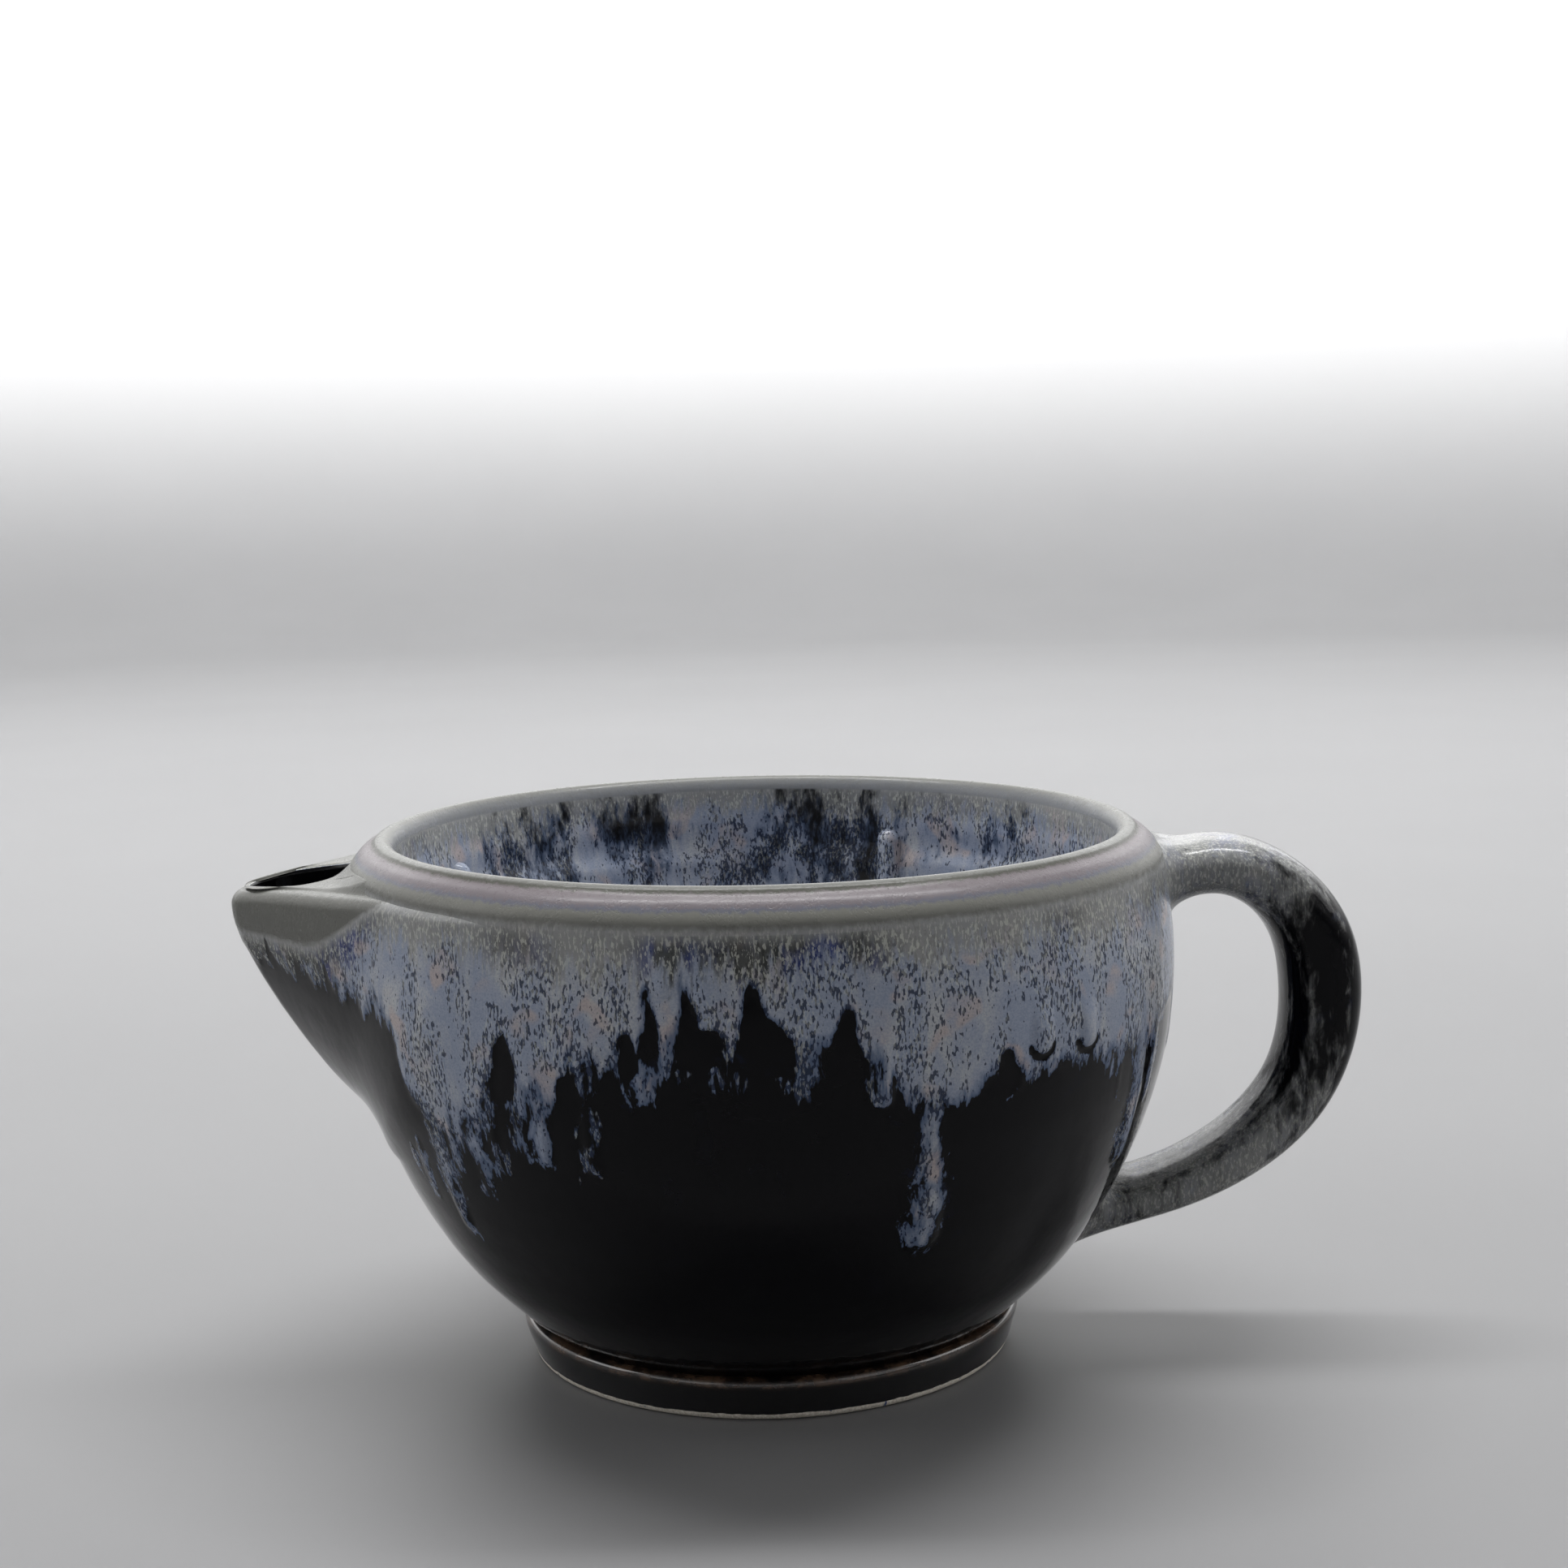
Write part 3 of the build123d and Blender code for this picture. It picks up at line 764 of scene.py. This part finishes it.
def make_spout():
    """The spout's flanks, its rounded top with the pouring hole, and the channel that goes down inside it."""
    half = math.radians(spout_half_turn)
    t = np.linspace(-1, 1, spout_columns)
    turn = half * np.sign(t) * np.abs(t) ** 1.5
    skin, skin_depth = spout_skin(turn)
    outside = np.concatenate([skin, rolled_edge(skin[-1])])
    rings = np.concatenate([outside, hidden_side(outside, half)], axis=1)
    rings = np.concatenate([rings, top_and_channel(rings[-1])])
    values = spout_values(rings, skin_depth, np.abs(np.degrees(turn)))
    return mesh_piece("spout_glazed", rings, outer_material, ["spout", "spout_top"], values)


def spread(ring, heading):
    """Rings from a section of the strap down its fillet onto the wall and a little under its surface."""
    middle = ring.mean(0)
    low, high = np.zeros(len(ring)), np.full(len(ring), 40.0)
    for _ in range(30):
        mid = (low + high) / 2
        p = ring + heading * mid[:, None]
        outside = np.hypot(p[:, 0], p[:, 1]) > wall_radius(p[:, 2])
        low, high = np.where(outside, mid, low), np.where(outside, high, mid)
    foot = ring + heading * low[:, None]
    away = foot - foot.mean(0)
    away /= np.linalg.norm(away, axis=1)[:, None]
    reach = handle_fillet * 0.62
    room = np.clip((fillet_ceiling - foot[:, 2]) / np.maximum(away[:, 2] * reach, 1e-3), 0.12, 1)
    room = np.where(away[:, 2] > 0, room, 1)
    spot = foot + away * (reach * room)[:, None]
    turn = np.arctan2(spot[:, 1], spot[:, 0])
    r = wall_radius(spot[:, 2]) - 0.12 - wall_inset * (spot[:, 2] < 82)
    spot = np.stack([r * np.cos(turn), r * np.sin(turn), spot[:, 2]], -1)
    slope = wall_radius(spot[:, 2] + 0.5) - wall_radius(spot[:, 2] - 0.5)
    face = np.stack([np.cos(turn), np.sin(turn), -slope], -1)
    face /= np.linalg.norm(face, axis=1)[:, None]
    skim = away - face * (away * face).sum(1)[:, None]
    skim /= np.linalg.norm(skim, axis=1)[:, None]
    pull = np.linalg.norm(spot - ring, axis=1)[:, None]
    u = np.linspace(0, 1, fillet_steps)[1:, None, None]
    start, end = heading * pull * 1.15, skim * pull * 0.95
    curve = ((2 * u**3 - 3 * u**2 + 1) * ring + (u**3 - 2 * u**2 + u) * start
             + (3 * u**2 - 2 * u**3) * spot + (u**3 - u**2) * end)
    under = spot - face * 1.2 - skim * 1.5
    return np.concatenate([curve, [under, middle + (under - middle) * 0.55 + heading * 4]])


def make_handle():
    """The pulled strap handle. Each end spreads into the wall on a fillet tangent to strap and wall."""
    line = spline(handle_line, 360)
    length = np.concatenate([[0], np.cumsum(np.linalg.norm(np.diff(line, axis=0), axis=1))])
    share = length / length[-1]
    tangent = np.gradient(line, axis=0)
    tangent /= np.linalg.norm(tangent, axis=1)[:, None]
    normal = np.stack([-tangent[:, 1], tangent[:, 0]], -1)
    thick = 9.4 + 4.1 * np.exp(-((share - 0.42) / 0.21) ** 2) - 1.6 * ease(share, 0.62, 0.9)
    root = np.maximum(1 - share / 0.13, 0) ** 2 + np.maximum(1 - (1 - share) / 0.13, 0) ** 2
    thick = thick + 2.0 * root
    width = handle_width + 2.0 * root + 0.8 * np.sin(share * 9)
    phi = np.linspace(0, 2 * math.pi, 72, endpoint=False)
    roundness = 0.80
    across = np.sign(np.cos(phi)) * np.abs(np.cos(phi)) ** roundness
    up = np.sign(np.sin(phi)) * np.abs(np.sin(phi)) ** roundness
    level = thick[:, None] / 2 * up
    rings = np.stack([line[:, None, 0] + level * normal[:, None, 0], width[:, None] / 2 * across,
                      line[:, None, 1] + level * normal[:, None, 1]], -1)

    clear = np.hypot(rings[..., 0], rings[..., 1]) - wall_radius(rings[..., 2])
    free = np.where(clear.min(1) > 5.5)[0]
    first, last = free[0], free[-1]
    head = spread(rings[first], -np.array([tangent[first, 0], 0, tangent[first, 1]]))[::-1]
    tail = spread(rings[last], np.array([tangent[last, 0], 0, tangent[last, 1]]))
    whole = np.concatenate([head, rings[first:last + 1], tail])
    place = np.concatenate([np.full(len(head), share[first]), share[first:last + 1],
                            np.full(len(tail), share[last])])
    place = np.repeat(place[:, None], len(phi), axis=1)

    # The overglaze lies on the top end, leaves the bend dark and comes back in streaks low down.
    y = whole[..., 1]
    streaks = np.sin(y * 1.9 + place * 9) + 0.7 * np.sin(y * 3.7 - place * 14 + 2)
    depth = 5.0 - 8.4 * ease(place, 0.12, 0.40) + 5.6 * ease(place, 0.46, 0.76)
    depth = depth + streaks * (0.4 + 0.7 * ease(place, 0.15, 0.3))
    even = np.ones(place.shape)
    values = {"depth": depth, "height": 84.6 * even, "rim": 66 * even, "pools_and_dark_reflection": 0.12 * even}
    return mesh_piece("handle_glazed", whole, handle_material, ["handle"], values)


make_outer_bowl()
make_inner_bowl()
make_ridges()
make_foot()
make_spout()
make_handle()


# ---------------------------------------------------------------- studio
def make_stage():
    """A pale round floor that sweeps up into a pale wall all round."""
    floor_radius, bend, wall_top, around = 2.0, 0.9, 1.9, 96
    sweep = np.linspace(0, math.pi / 2, 16)
    corner = [(floor_radius + bend * math.sin(a), bend * (1 - math.cos(a))) for a in sweep]
    profile = [(0.3, 0), (1.0, 0)] + corner + [(floor_radius + bend, wall_top)]
    rings = revolve(profile, around)
    index = np.arange(len(profile) * around).reshape(len(profile), around)
    left, right = index, np.roll(index, -1, 1)
    quads = np.stack([left[:-1], right[:-1], right[1:], left[1:]], -1).reshape(-1, 4)
    mesh = bpy.data.meshes.new("studio_floor")
    mesh.from_pydata(rings.reshape(-1, 3).tolist(), [], quads.tolist() + [index[0][::-1].tolist()])
    mesh.shade_smooth()
    nodes = Shader("studio_floor")
    place = nodes.node("ShaderNodeTexCoord").outputs["Object"]
    up = nodes.node("ShaderNodeSeparateXYZ", {0: place}).outputs["Z"]
    tone = nodes.mix(nodes.noise(place, 6, 3, 0.5), (0.158, 0.158, 0.161, 1), (0.175, 0.175, 0.178, 1))
    tone = nodes.mix(nodes.step(up, 0.02, 0.7), tone, (0.80, 0.80, 0.805, 1))
    mesh.materials.append(nodes.surface({"Base Color": tone, "Roughness": 0.55}))
    floor = bpy.data.objects.new("studio_floor", mesh)
    bpy.context.scene.collection.objects.link(floor)


def make_light(name, at, towards, size, power):
    """A white rectangular softbox aimed at a point."""
    light = bpy.data.lights.new(name, "AREA")
    light.shape = "RECTANGLE"
    light.size, light.size_y = size
    light.energy = power
    lamp = bpy.data.objects.new(name, light)
    lamp.location = at
    lamp.rotation_euler = (Vector(towards) - Vector(at)).to_track_quat("-Z", "Y").to_euler()
    bpy.context.scene.collection.objects.link(lamp)


def make_camera():
    """The camera stands in front and a little above, and looks slightly down."""
    ahead = Vector((0.01095, 0.99282, -0.11911)).normalized()
    right = Vector((0.99961, -0.01394, -0.02435)).normalized()
    up = right.cross(ahead).normalized()
    data = bpy.data.cameras.new("camera")
    data.sensor_width = 36
    data.lens = 53.84
    data.clip_start = 0.01
    camera = bpy.data.objects.new("camera", data)
    turn = Matrix((right, up, -ahead)).transposed()
    camera.matrix_world = Matrix.Translation((0, -0.400, 0.1451)) @ turn.to_4x4()
    bpy.context.scene.collection.objects.link(camera)
    bpy.context.scene.camera = camera


make_stage()
middle = (0, 0, 0.05)
make_light("back_softbox", (0.0, 1.0, 0.85), middle, (1.7, 0.7), 5)
make_light("backdrop_light", (0.0, 0.5, 2.3), (0, 2.4, 0.6), (2.4, 0.6), 165)
make_light("left_softbox", (-1.5, -0.1, 0.9), middle, (0.9, 0.9), 5.5)
make_light("right_softbox", (1.5, -0.05, 0.9), middle, (0.9, 0.9), 5)
make_light("front_left_panel", (-1.5, -1.5, 1.0), middle, (1.4, 1.2), 2.6)
make_light("front_right_panel", (1.6, -1.4, 1.0), middle, (1.4, 1.2), 2.0)
make_camera()


def make_world():
    """Soft light all round, brightest from behind the mug."""
    world = bpy.data.worlds.new("studio")
    world.use_nodes = True
    tree = world.node_tree
    place = tree.nodes.new("ShaderNodeTexCoord")
    split = tree.nodes.new("ShaderNodeSeparateXYZ")
    level = tree.nodes.new("ShaderNodeMapRange")
    for key, value in {"From Min": -1, "From Max": 1, "To Min": 0.07, "To Max": 0.46}.items():
        level.inputs[key].default_value = value
    tree.links.new(place.outputs["Generated"], split.inputs[0])
    tree.links.new(split.outputs["Y"], level.inputs["Value"])
    tree.links.new(level.outputs[0], tree.nodes["Background"].inputs["Strength"])
    tree.nodes["Background"].inputs["Color"].default_value = (1, 1, 1, 1)
    bpy.context.scene.world = world


make_world()
bpy.context.scene.view_settings.view_transform = "Standard"
